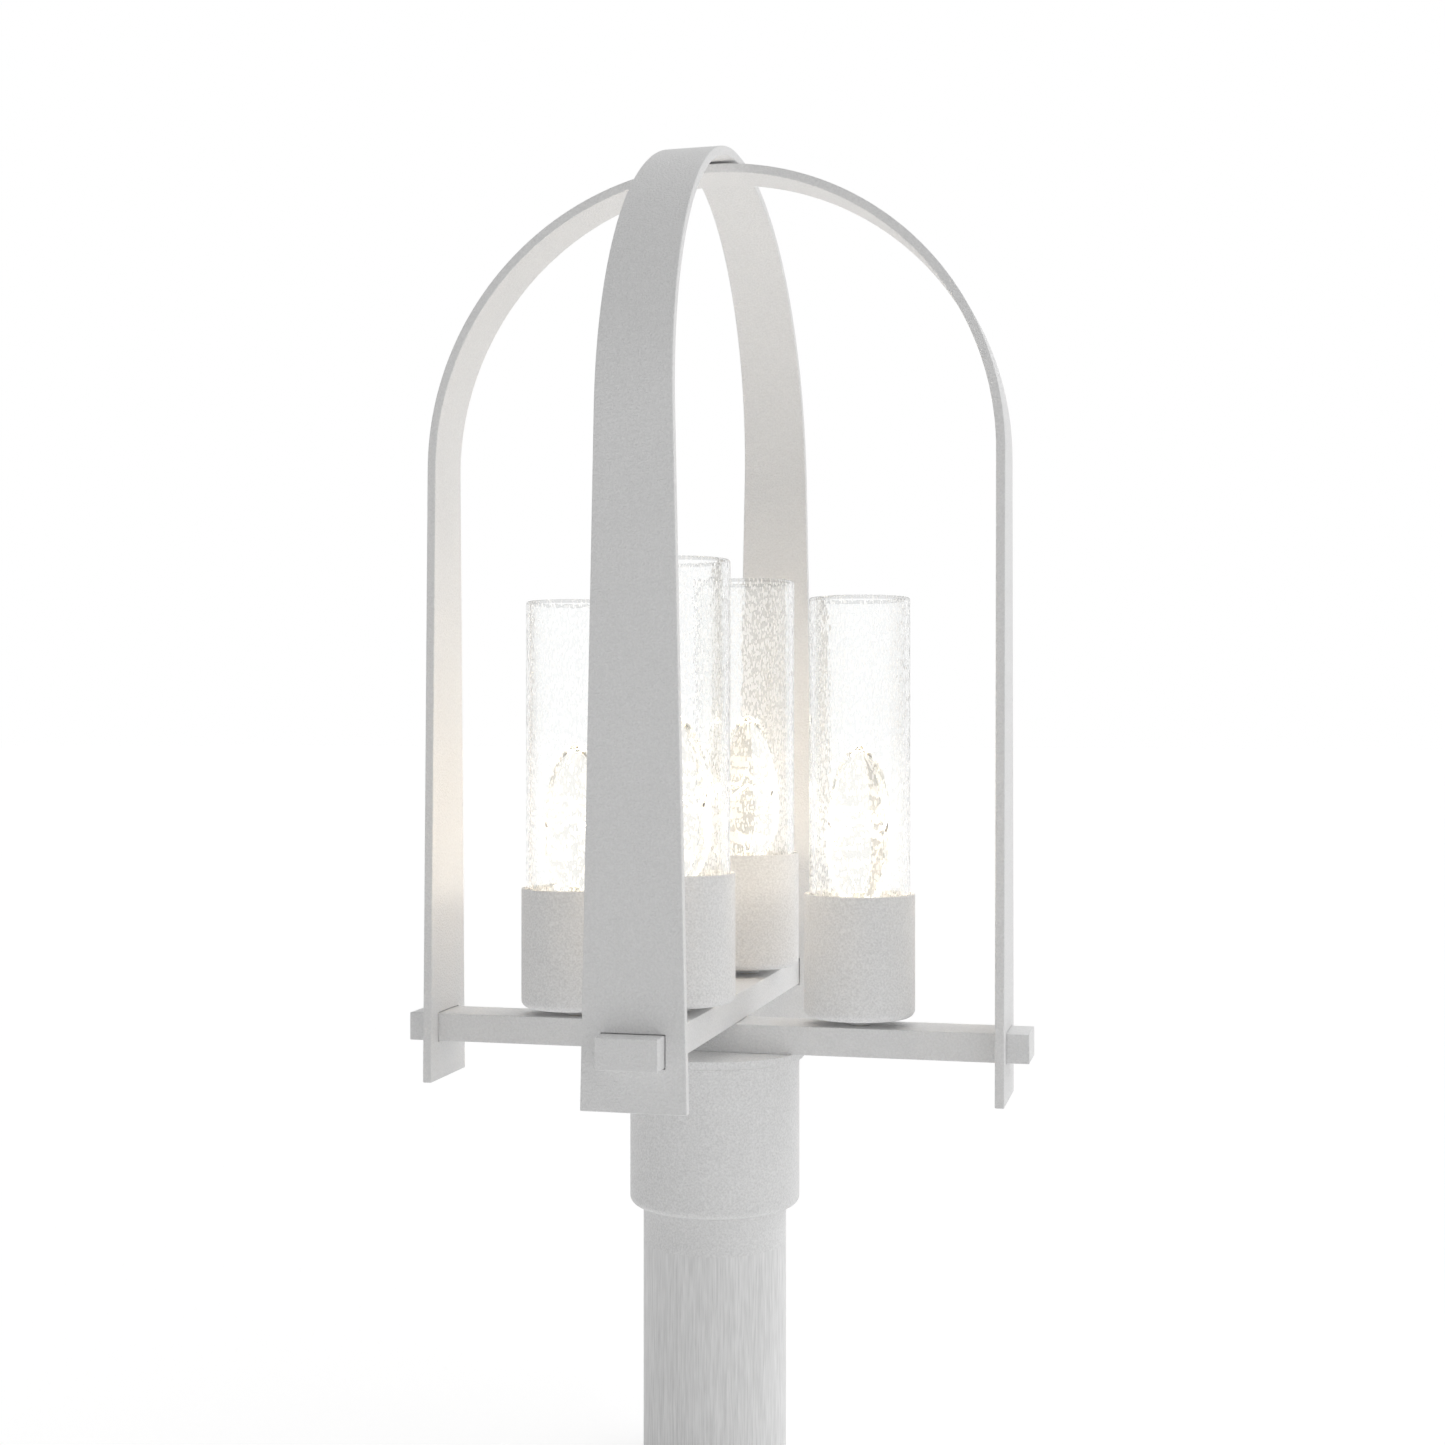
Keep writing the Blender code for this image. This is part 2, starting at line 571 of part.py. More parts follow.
def bulb_profile(wall):
    """Return half of the candle outline, tip first, drawn in by a wall thickness.

    Two ellipses meet at the widest point, and the lower one is cut off at the neck.
    """
    radius = BULB_RADIUS - wall
    crown = BULB_CROWN_HEIGHT - wall
    neck_angle = math.acos((BULB_NECK_RADIUS - wall) / radius)
    belly = BULB_BELLY_HEIGHT / math.sin(neck_angle)
    points = []
    for step in range(BULB_ARC_STEPS):
        angle = math.pi / 2 * step / BULB_ARC_STEPS
        points.append((radius * math.sin(angle), BULB_BELLY_HEIGHT + crown * math.cos(angle)))
    for step in range(BULB_ARC_STEPS + 1):
        angle = neck_angle * step / BULB_ARC_STEPS
        points.append((radius * math.cos(angle), BULB_BELLY_HEIGHT - belly * math.sin(angle)))
    return points


def bulb_mesh():
    """Turn a thin candle bulb that is open at its neck."""
    outside = bulb_profile(0.0)
    inside = bulb_profile(BULB_WALL)
    return turned_mesh("bulb_glass", outside + inside[::-1], BULB_STEPS)


def filament_mesh():
    """Make the stem and the spread wire with its looped filament that stands on it, as one body."""
    wire = bpy.data.curves.new("bulb_filament_wire", "CURVE")
    wire.dimensions = "3D"
    wire.bevel_depth = FILAMENT_RADIUS
    wire.bevel_resolution = 0
    wire.use_fill_caps = True
    rooted = STEM_HEIGHT - STEM_RADIUS
    peak = STEM_HEIGHT + FILAMENT_RISE
    root = STEM_RADIUS / 2
    loops = 2 * FILAMENT_DIP_COUNT
    points = [(-root, rooted), (-root, STEM_HEIGHT + STEM_RADIUS)]
    for step in range(loops + 1):
        x = FILAMENT_SPREAD * (2 * step / loops - 1)
        points.append((x, peak - FILAMENT_DIP * (step % 2)))
    points += [(root, STEM_HEIGHT + STEM_RADIUS), (root, rooted)]
    spline = wire.splines.new("POLY")
    spline.points.add(len(points) - 1)
    for point, (x, z) in zip(spline.points, points):
        point.co = (x, 0, z, 1)
    wire_mesh = baked_mesh(add_object("bulb_filament_wire", wire))
    stem = add_object("bulb_filament", prism_mesh("bulb_filament", STEM_RADIUS, 0, STEM_HEIGHT, STEM_STEPS))
    joined = bpy.data.objects.new("bulb_filament_wire", wire_mesh)
    joined.hide_render = True
    joined.display_type = "WIRE"
    CUTTERS.objects.link(joined)
    union = stem.modifiers.new("Wire", "BOOLEAN")
    union.operation = "UNION"
    union.object = joined
    return baked_mesh(stem)


def make_lead(name, lamp_empty, bar_z):
    """Run one lamp's lead from its socket down the nipple, along the bar and down to the connector."""
    bar_top = bar_z + BAR_HEIGHT
    middle = -BAR_HEIGHT / 2
    end = CONNECTOR_TOP_Z + GAP - bar_top
    route = [
        (LAMP_OFFSET, LEAD_TOP_Z),
        (LAMP_OFFSET, NIPPLE_Z + NIPPLE_RADIUS),
        (LAMP_OFFSET - LEAD_BEND / 4, (NIPPLE_Z + middle) / 2),
        (LAMP_OFFSET - LEAD_BEND, middle),
        (LAMP_OFFSET / 2, middle),
        (LEAD_SPREAD + LEAD_BEND, middle),
        (LEAD_SPREAD + LEAD_BEND / 4, middle - LEAD_RADIUS),
        (LEAD_SPREAD, -BAR_HEIGHT + BAR_WALL / 2),
        (LEAD_SPREAD, end),
    ]
    curve = bpy.data.curves.new(name, "CURVE")
    curve.dimensions = "3D"
    curve.bevel_depth = LEAD_RADIUS
    curve.bevel_resolution = 1
    curve.resolution_u = 2
    curve.use_fill_caps = True
    curve.materials.append(MATERIALS["lead_jacket"])
    spline = curve.splines.new("BEZIER")
    spline.bezier_points.add(len(route) - 1)
    for point, (x, z) in zip(spline.bezier_points, route):
        point.co = (x, 0, z)
        point.handle_left_type = "AUTO"
        point.handle_right_type = "AUTO"
    add_object(name, curve, parent=lamp_empty)


def make_lamps(lantern):
    """Make the four lamps from shared meshes, each on its own empty over the lantern's axis.

    Their pieces all face the same way, so that the filaments stand side by side.
    """
    spacer = ring_mesh("cup_spacer", NIPPLE_HOLE_RADIUS, SPACER_RADIUS, SPACER_HEIGHT, SMALL_STEPS)
    nipple_length = NIPPLE_TOP_Z - NIPPLE_Z
    nipple = ring_mesh("cup_nipple", NIPPLE_BORE_RADIUS, NIPPLE_RADIUS, nipple_length, SMALL_STEPS)
    glass = ring_mesh("glass", GLASS_RADIUS - GLASS_WALL, GLASS_RADIUS, GLASS_LENGTH, GLASS_STEPS)
    stack = [
        ("cup_spacer", spacer, "white_powder_coat", SPACER_Z),
        ("cup_nipple", nipple, "brass", NIPPLE_Z),
        ("cup", cup_mesh(), "white_powder_coat", CUP_Z),
        ("cup_nut", nut_mesh(), "brass", NUT_Z),
        ("socket", socket_mesh(), "black_socket", SOCKET_Z),
        ("glass_seat", seat_mesh(), "clear_silicone", SEAT_Z),
        ("glass", glass, "seeded_glass", GLASS_Z),
        ("bulb_cap", cap_mesh(), "brass", CAP_Z),
        ("bulb_glass", bulb_mesh(), "bulb_glass", BULB_Z),
        ("bulb_filament", filament_mesh(), "tungsten", BULB_Z),
    ]
    for lamp, (angle, bar_z) in LAMPS.items():
        lamp_empty = add_object(f"lamp_{lamp}", None, (0, 0, bar_z + BAR_HEIGHT), (0, 0, angle), lantern)
        for name, mesh, finish, height in stack:
            add_piece(f"{name}_{lamp}", mesh, finish, (LAMP_OFFSET, 0, height), (0, 0, -angle), lamp_empty)
        make_lead(f"lamp_lead_{lamp}", lamp_empty, bar_z)


def make_connector(lantern):
    """Make the connector block that joins the leads inside the post."""
    size = (CONNECTOR_WIDTH, CONNECTOR_DEPTH, CONNECTOR_HEIGHT)
    place = (0, 0, CONNECTOR_TOP_Z - CONNECTOR_HEIGHT / 2)
    mesh = box_mesh("lead_connector", size)
    block = add_piece("lead_connector", mesh, "connector_nylon", place, parent=lantern)
    bevel(block, CONNECTOR_EDGE)


def main():
    """Build the lantern on its post."""
    make_post()
    lantern = add_object("lantern", None)
    make_fitter(lantern)
    make_bars(lantern)
    make_arches(lantern)
    make_lamps(lantern)
    make_connector(lantern)


clear_scene()
PARTS = make_collection("post_lantern")
CUTTERS = make_collection("cutters")
MATERIALS = make_materials()
main()
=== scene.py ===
"""Looks of the four-light post-top lantern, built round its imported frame.

Lengths are metres in the frame's own axes: +Z up the post, +X along the lower bar, -Y to the front.
"""

import math

import bmesh
import bpy
from mathutils import Matrix, Vector


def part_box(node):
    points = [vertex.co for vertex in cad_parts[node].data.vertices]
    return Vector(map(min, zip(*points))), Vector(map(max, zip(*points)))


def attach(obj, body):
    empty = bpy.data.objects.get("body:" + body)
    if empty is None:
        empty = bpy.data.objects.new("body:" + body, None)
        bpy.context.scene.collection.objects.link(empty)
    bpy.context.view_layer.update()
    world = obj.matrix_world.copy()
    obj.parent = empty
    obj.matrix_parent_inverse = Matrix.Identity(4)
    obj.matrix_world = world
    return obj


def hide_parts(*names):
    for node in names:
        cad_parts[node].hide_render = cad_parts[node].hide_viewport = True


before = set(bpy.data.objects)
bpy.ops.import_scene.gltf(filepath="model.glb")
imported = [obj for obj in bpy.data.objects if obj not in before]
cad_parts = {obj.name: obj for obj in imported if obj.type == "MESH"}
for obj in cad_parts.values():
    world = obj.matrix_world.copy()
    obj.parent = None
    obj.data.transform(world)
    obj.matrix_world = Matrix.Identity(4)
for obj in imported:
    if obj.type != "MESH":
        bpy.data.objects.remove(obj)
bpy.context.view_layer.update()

SIDES = ("right", "left", "front", "back")

# Sizes that the frame's boxes don't give
POST_WALL = 0.0032
SLEEVE_BORE = 0.0389
SLEEVE_EDGE = 0.0038
SOFT_EDGE = 0.0005
PLATE_BORE = 0.0052
GRUB_RADIUS = 0.003
GRUB_TIP = 0.0384
GRUB_RECESS = 0.0003
GRUB_HOLE = 0.00345
CUT_MARGIN = 0.004
BAR_EDGE = 0.0004
SLOT_CLEARANCE = 0.0005
STRAP_THICKNESS = 0.0048
STRAP_APEX_WIDTH = 0.028
STRAP_EDGE = 0.0006
ARCH_SEGMENTS = 120
ROUND_STEPS = 160
SINK_RADIUS = 0.0078
SINK_RISE = 0.003
SINK_HOLE = 0.00265
JOINT_SHANK = 0.0022
JOINT_HEAD_DEPTH = 0.0024
CUP_WALL = 0.0016
CUP_FLOOR = 0.0020
CUP_CORNER = 0.0042
CUP_HOLE = 0.00545
GLASS_WALL = 0.0025
GLASS_EDGE = 0.0012
SOCKET_BORE = 0.0065
SOCKET_DEPTH = 0.018
SOCKET_BASE = 0.004
SOCKET_FLOOR = 0.003
CAP_RADIUS = 0.0059
THREAD_PITCH = 0.0026
THREAD_DEPTH = 0.0005
BULB_NECK = 0.0068
BULB_BELLY = 0.028
STEM_HEIGHT = 0.008
STEM_RADIUS = 0.0022
STEM_EDGE = 0.0008
WIRE_SPREAD = 0.0125
WIRE_TOP = 0.0435
COIL_DIP = 0.007
COIL_RADIUS = 0.0004
COIL_PITCH = 0.0007
COIL_STEPS = 8
COIL_WIRE = 0.00014
SUPPORT_WIRE = 0.00022
CLAMP_WIRE = 0.0004
LAMP_HEIGHT = 0.036
GLOW_HEIGHT = 0.125
FOOT_HEIGHT = 0.010
HEX_KEY = 0.0017
HEX_DEPTH = 0.0022
LAMP_SOFTNESS = 0.006
GLASS_HEIGHT = 0.214
STREAKS_BELOW = 0.112

# Looks
COAT_WHITE = 0.81
AXIS_MIDDLE = 0.0253
# Depth of the painted grey shade along the glass's top rim
RIM_DEPTH = 0.0022
GLASS_TINT = (0.98, 0.985, 0.985)
# Grey painted into the glass at its grazing edges and along its top rim: painted shade
PAINTED_GREY_SHADE = (0.5, 0.5, 0.5)
SEED_SPACING = 0.00135
SEED_STRETCH = 0.30
SEED_ROUGHNESS = 0.8
# Painted light: the glass's seeds emit though the glass is no lamp, on the bore and, brighter, low in the tube
# near the bulbs, fading out between two heights
PAINTED_SEED_GLOW = 0.24
PAINTED_LAMP_GLOW = 0.16
PAINTED_GLOW_HEIGHTS = (0.09, 0.16)

# Light
AMBIENT = 0.33
LAMP_POWER = 0.036
GLOW_POWER = 0.025
FOOT_POWER = 0.05
# Name, strength, angle across in degrees and direction of each sun
SUNS = (("key", 1.56, 140, (-1.0, -0.3, -0.1)),
        ("top", 1.08, 90, (0, -0.6, -0.8)))
TABLE_SIZE = 12.0
TABLE_GLOW = 0.265

# Camera
CAMERA_PLACE = (0.2583, -1.0424, 0.3887)
CAMERA_TURN = 13.7

# Materials


def add_node(tree, kind, values=(), **settings):
    """Add a shader node with its input values and settings."""
    item = tree.nodes.new(kind)
    for key, value in settings.items():
        setattr(item, key, value)
    for key, value in dict(values).items():
        item.inputs[key].default_value = value
    return item


def new_material(name, values):
    """Make a Principled material and return it with its tree, shader and object coordinates."""
    material = bpy.data.materials.new(name)
    material.use_nodes = True
    tree = material.node_tree
    shader = tree.nodes["Principled BSDF"]
    for key, value in values.items():
        shader.inputs[key].default_value = value
    place = add_node(tree, "ShaderNodeTexCoord")
    return material, tree, shader, place.outputs["Object"]


def noise(tree, place, scale, detail=2.0, stretch=(1, 1, 1)):
    """Add a noise pattern in metres, stretched along the axes, and return its value."""
    mapping = add_node(tree, "ShaderNodeMapping", {"Scale": stretch})
    pattern = add_node(tree, "ShaderNodeTexNoise", {"Scale": scale, "Detail": detail, "Roughness": 0.6})
    tree.links.new(place, mapping.inputs["Vector"])
    tree.links.new(mapping.outputs["Vector"], pattern.inputs["Vector"])
    return pattern.outputs["Fac"]


def ramp(tree, value, stops):
    """Map a value to colours through a ramp of (position, colour) stops."""
    item = add_node(tree, "ShaderNodeValToRGB")
    elements = item.color_ramp.elements
    while len(elements) < len(stops):
        elements.new(0.5)
    for element, (position, colour) in zip(elements, stops):
        element.position = position
        element.color = (*colour, 1.0)
    tree.links.new(value, item.inputs["Fac"])
    return item.outputs["Color"]


def math_node(tree, operation, first, second):
    """Combine two values, each a socket or a number."""
    item = add_node(tree, "ShaderNodeMath", operation=operation)
    for socket, value in zip(item.inputs, (first, second)):
        if isinstance(value, (int, float)):
            socket.default_value = value
        else:
            tree.links.new(value, socket)
    return item.outputs["Value"]


def remap(tree, value, low, high, to_low, to_high):
    """Map a value smoothly from one range to another."""
    item = add_node(tree, "ShaderNodeMapRange", interpolation_type="SMOOTHSTEP")
    for key, number in (("From Min", low), ("From Max", high), ("To Min", to_low), ("To Max", to_high)):
        item.inputs[key].default_value = number
    tree.links.new(value, item.inputs["Value"])
    return item.outputs["Result"]


def bump(tree, shader, height, distance, strength):
    """Press a height pattern into a shader's surface."""
    item = add_node(tree, "ShaderNodeBump", {"Strength": strength, "Distance": distance})
    tree.links.new(height, item.inputs["Height"])
    tree.links.new(item.outputs["Normal"], shader.inputs["Normal"])


def powder_coat(name, spread, relief, streaks_below=None):
    """White textured powder coat, drawn into upright streaks below a height on the post."""
    material, tree, shader, place = new_material(name, {"Specular IOR Level": 0.35})
    grains = noise(tree, place, 950, 2.5)
    if streaks_below is not None:
        drawn = noise(tree, place, 1000, 2.0, (1, 1, 0.05))
        split = add_node(tree, "ShaderNodeSeparateXYZ")
        tree.links.new(place, split.inputs["Vector"])
        share = remap(tree, split.outputs["Z"], streaks_below, streaks_below + 0.0008, 1.0, 0.0)
        mix = add_node(tree, "ShaderNodeMix", data_type="FLOAT")
        tree.links.new(share, mix.inputs["Factor"])
        tree.links.new(grains, mix.inputs["A"])
        tree.links.new(drawn, mix.inputs["B"])
        grains = mix.outputs["Result"]
    clouds = noise(tree, place, 22, 3.0)
    fine = math_node(tree, "MULTIPLY", grains, 0.85)
    tone = math_node(tree, "ADD", fine, math_node(tree, "MULTIPLY", clouds, 0.15))
    low, high = COAT_WHITE - spread, COAT_WHITE + spread
    colour = ramp(tree, tone, ((0.32, (low, low, low)), (0.68, (high, high, high))))
    tree.links.new(colour, shader.inputs["Base Color"])
    tree.links.new(remap(tree, grains, 0.3, 0.7, 0.72, 0.52), shader.inputs["Roughness"])
    bump(tree, shader, grains, 0.0012, relief)
    return material


def seeded_glass(name, top):
    """Clear glass full of small upright bubbles that scatter light; its seeds carry painted glow and painted
    grey shade toward the tube's edges, and its top rim is tinted grey as painted shade.
    """
    # Warm colour of the seeds' painted glow
    values = {"IOR": 1.45, "Transmission Weight": 1.0, "Emission Color": (1.0, 0.95, 0.87, 1)}
    material, tree, shader, place = new_material(name, values)
    split = add_node(tree, "ShaderNodeSeparateXYZ")
    tree.links.new(place, split.inputs["Vector"])
    angle = math_node(tree, "ARCTAN2", split.outputs["Y"], split.outputs["X"])
    unrolled = add_node(tree, "ShaderNodeCombineXYZ")
    tree.links.new(math_node(tree, "MULTIPLY", angle, AXIS_MIDDLE), unrolled.inputs["X"])
    tree.links.new(math_node(tree, "MULTIPLY", split.outputs["Z"], SEED_STRETCH), unrolled.inputs["Y"])
    cells = add_node(tree, "ShaderNodeTexVoronoi", {"Scale": 1 / SEED_SPACING, "Randomness": 1.0},
                     voronoi_dimensions="2D")
    tree.links.new(unrolled.outputs["Vector"], cells.inputs["Vector"])
    chance = add_node(tree, "ShaderNodeSeparateColor")
    tree.links.new(cells.outputs["Color"], chance.inputs["Color"])
    size = remap(tree, chance.outputs["Red"], 0.0, 1.0, 0.15, 0.33)
    seeds = remap(tree, math_node(tree, "SUBTRACT", cells.outputs["Distance"], size), -0.03, 0.03, 1.0, 0.0)
    # Painted shade: the top rim is tinted grey over its last few millimetres
    rim = remap(tree, split.outputs["Z"], top - RIM_DEPTH, top - RIM_DEPTH * 0.8, 0.0, 0.4)
    flat = add_node(tree, "ShaderNodeVectorMath", {1: (1, 1, 0)}, operation="MULTIPLY")
    reach = add_node(tree, "ShaderNodeVectorMath", operation="LENGTH")
    tree.links.new(place, flat.inputs[0])
    tree.links.new(flat.outputs["Vector"], reach.inputs[0])
    bore = math_node(tree, "LESS_THAN", reach.outputs["Value"], AXIS_MIDDLE)
    # Painted shade: seeds turn grey where the glass turns away from view, standing in for the darker look of
    # the tube's edges
    slant = add_node(tree, "ShaderNodeLayerWeight", {"Blend": 0.5})
    edge = math_node(tree, "MULTIPLY", remap(tree, slant.outputs["Facing"], 0.45, 0.7, 0.08, 1.0), seeds)
    shade = math_node(tree, "MAXIMUM", edge, rim)
    tree.links.new(ramp(tree, shade, ((0.0, GLASS_TINT), (1.0, PAINTED_GREY_SHADE))), shader.inputs["Base Color"])
    inner = math_node(tree, "MULTIPLY", seeds, bore)
    tree.links.new(math_node(tree, "MULTIPLY", inner, SEED_ROUGHNESS), shader.inputs["Roughness"])
    # Painted light: seeds low in the tube glow as if lit by the bulbs, and seeds on the bore glow as well
    painted_light_near_lamps = math_node(tree, "MULTIPLY", seeds, remap(tree, split.outputs["Z"], *PAINTED_GLOW_HEIGHTS, PAINTED_LAMP_GLOW, 0.0))
    lit = math_node(tree, "ADD", painted_light_near_lamps, math_node(tree, "MULTIPLY", inner, PAINTED_SEED_GLOW))
    tree.links.new(lit, shader.inputs["Emission Strength"])
    bump(tree, shader, noise(tree, place, 500, 1.0, (1, 1, 0.4)), 0.0003, 0.2)
    return material


def bulb_glass(name):
    """Clear bulb glass whose outline carries a painted warm glow of its own light."""
    values = {"Base Color": (0.985, 0.97, 0.935, 1), "Roughness": 0.0, "IOR": 1.45,
              "Transmission Weight": 1.0, "Emission Color": (1.0, 0.95, 0.84, 1)}
    material, tree, shader, place = new_material(name, values)
    # Painted glow: emission grows where the glass turns away from view, so the bulb's outline glows
    slant = add_node(tree, "ShaderNodeLayerWeight", {"Blend": 0.5})
    painted_outline_glow = remap(tree, slant.outputs["Facing"], 0.28, 0.78, 0.0, 0.37)
    tree.links.new(painted_outline_glow, shader.inputs["Emission Strength"])
    bump(tree, shader, noise(tree, place, 120, 1.0), 0.0004, 0.25)
    return material


def metal(name, dark, light, roughness, scale):
    """Metal with fine tonal and gloss variation."""
    material, tree, shader, place = new_material(name, {"Metallic": 1.0})
    grain = noise(tree, place, scale, 3.0)
    tree.links.new(ramp(tree, grain, ((0.3, dark), (0.7, light))), shader.inputs["Base Color"])
    gloss = remap(tree, grain, 0.3, 0.7, roughness + 0.1, roughness - 0.08)
    tree.links.new(gloss, shader.inputs["Roughness"])
    bump(tree, shader, grain, 0.0002, 0.2)
    return material


def moulding(name, dark, light, roughness, scale):
    """Moulded or extruded plastic with a fine matt grain."""
    material, tree, shader, place = new_material(name, {"Specular IOR Level": 0.4})
    grain = noise(tree, place, scale, 2.0)
    tree.links.new(ramp(tree, grain, ((0.3, dark), (0.7, light))), shader.inputs["Base Color"])
    gloss = remap(tree, grain, 0.3, 0.7, roughness + 0.08, roughness - 0.08)
    tree.links.new(gloss, shader.inputs["Roughness"])
    bump(tree, shader, grain, 0.0002, 0.25)
    return material


def glowing_wire(name, colour, glow_low, glow_high):
    """Wire that glows, brighter in places: the filament's own light, or painted light on a wire that is no
    lamp.
    """
    values = {"Base Color": (*colour, 1), "Emission Color": (*colour, 1)}
    material, tree, shader, place = new_material(name, values)
    glow_pattern = noise(tree, place, 300, 1.0)
    tree.links.new(remap(tree, glow_pattern, 0.3, 0.7, glow_low, glow_high), shader.inputs["Emission Strength"])
    return material


# Meshes


def finish_mesh(shape, name, sharp=40):
    """Write a bmesh to a mesh with smooth sides and sharp corners."""
    bmesh.ops.recalc_face_normals(shape, faces=shape.faces)
    mesh = bpy.data.meshes.new(name)
    shape.to_mesh(mesh)
    shape.free()
    mesh.shade_smooth()
    mesh.set_sharp_from_angle(angle=math.radians(sharp))
    return mesh


def lathe(name, profile, steps, closed=False, wave=None):
    """Turn (radius, height) points about Z. Points on the axis become poles, and wave shifts a radius."""
    shape = bmesh.new()
    rings = []
    for radius, height in profile:
        angles = [math.tau * step / steps for step in range(steps if radius > 1e-6 else 1)]
        ring = []
        for angle in angles:
            reach = radius + (wave(height, angle) if wave and radius > 1e-6 else 0.0)
            ring.append(shape.verts.new((reach * math.cos(angle), reach * math.sin(angle), height)))
        rings.append(ring)
    pairs = list(zip(rings, rings[1:])) + ([(rings[-1], rings[0])] if closed else [])
    for upper, lower in pairs:
        for step in range(steps):
            after = (step + 1) % steps
            corners = [upper[step % len(upper)], lower[step % len(lower)],
                       lower[after % len(lower)], upper[after % len(upper)]]
            shape.faces.new(list(dict.fromkeys(corners)))
    return finish_mesh(shape, name)


def arc(x, z, radius, start, end, steps):
    """Points on an arc of a profile, angles in degrees."""
    angles = [math.radians(start + (end - start) * step / steps) for step in range(steps + 1)]
    return [(x + radius * math.cos(angle), z + radius * math.sin(angle)) for angle in angles]


def ring_profile(bore, radius, low, high, edge):
    """Profile of a ring with four eased corners, listed down its outer side."""
    outer = arc(radius - edge, high - edge, edge, 90, 0, 4) + arc(radius - edge, low + edge, edge, 0, -90, 4)
    inner = arc(bore + edge, low + edge, edge, 270, 180, 4) + arc(bore + edge, high - edge, edge, 180, 90, 4)
    return outer + inner


def prism(name, radius, low, high, sides):
    """An upright prism."""
    shape = bmesh.new()
    bmesh.ops.create_cone(shape, cap_ends=True, segments=sides, radius1=radius, radius2=radius,
                          depth=high - low)
    bmesh.ops.translate(shape, vec=(0, 0, (low + high) / 2), verts=shape.verts)
    return finish_mesh(shape, name)


def block(name, low, high):
    """A box between two corners."""
    shape = bmesh.new()
    bmesh.ops.create_cube(shape, size=1.0)
    bmesh.ops.scale(shape, vec=high - low, verts=shape.verts)
    bmesh.ops.translate(shape, vec=(low + high) / 2, verts=shape.verts)
    return finish_mesh(shape, name)


def link_object(name, data):
    """Put an object in the scene."""
    thing = bpy.data.objects.new(name, data)
    bpy.context.scene.collection.objects.link(thing)
    return thing


def shaped(mesh, edge=None, cutters=(), thickness=None):
    """Return a mesh after thickening, easing its edges and cutting other meshes out of it."""
    thing = link_object("blank", mesh)
    if thickness:
        shell = thing.modifiers.new("Thickness", "SOLIDIFY")
        shell.thickness = thickness
        shell.offset = -1
        shell.use_even_offset = True
    if edge:
        ease = thing.modifiers.new("Edges", "BEVEL")
        ease.width = edge
        ease.segments = 3
        ease.limit_method = "ANGLE"
        ease.angle_limit = math.radians(35)
    tools = [link_object("cutter", cutter) for cutter in cutters]
    for tool in tools:
        cut = thing.modifiers.new("Cut", "BOOLEAN")
        cut.object = tool
    bpy.context.view_layer.update()
    result = bpy.data.meshes.new_from_object(thing.evaluated_get(bpy.context.evaluated_depsgraph_get()))
    result.name = mesh.name
    result.shade_smooth()
    result.set_sharp_from_angle(angle=math.radians(40))
    for used in [thing, *tools]:
        bpy.data.objects.remove(used, do_unlink=True)
    return result


def add_piece(name, data, material, body, nodes=(), place=(0, 0, 0)):
    """Add a piece that rides on a body and stands in for CAD nodes."""
    thing = link_object(name, data)
    data.materials.clear()
    data.materials.append(material)
    thing.location = place
    if thing.type == "MESH":
        normals = thing.modifiers.new("Normals", "WEIGHTED_NORMAL")
        normals.keep_sharp = True
    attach(thing, body)
    if nodes:
        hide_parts(*nodes)
    return thing


def round_box(node):
    """Centre, radius and lowest and highest heights of an upright round node."""
    low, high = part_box(node)
    return (low.x + high.x) / 2, (low.y + high.y) / 2, (high.x - low.x) / 2, low.z, high.z


# Pieces


def make_post(coat):
    """The length of post under the lantern."""
    _, _, radius, low, high = round_box("post")
    profile = ring_profile(radius - POST_WALL, radius, low, high, SOFT_EDGE)
    tube = lathe("post_tube", profile, ROUND_STEPS, closed=True)
    add_piece("post_tube", tube, coat, "post", ["post"])


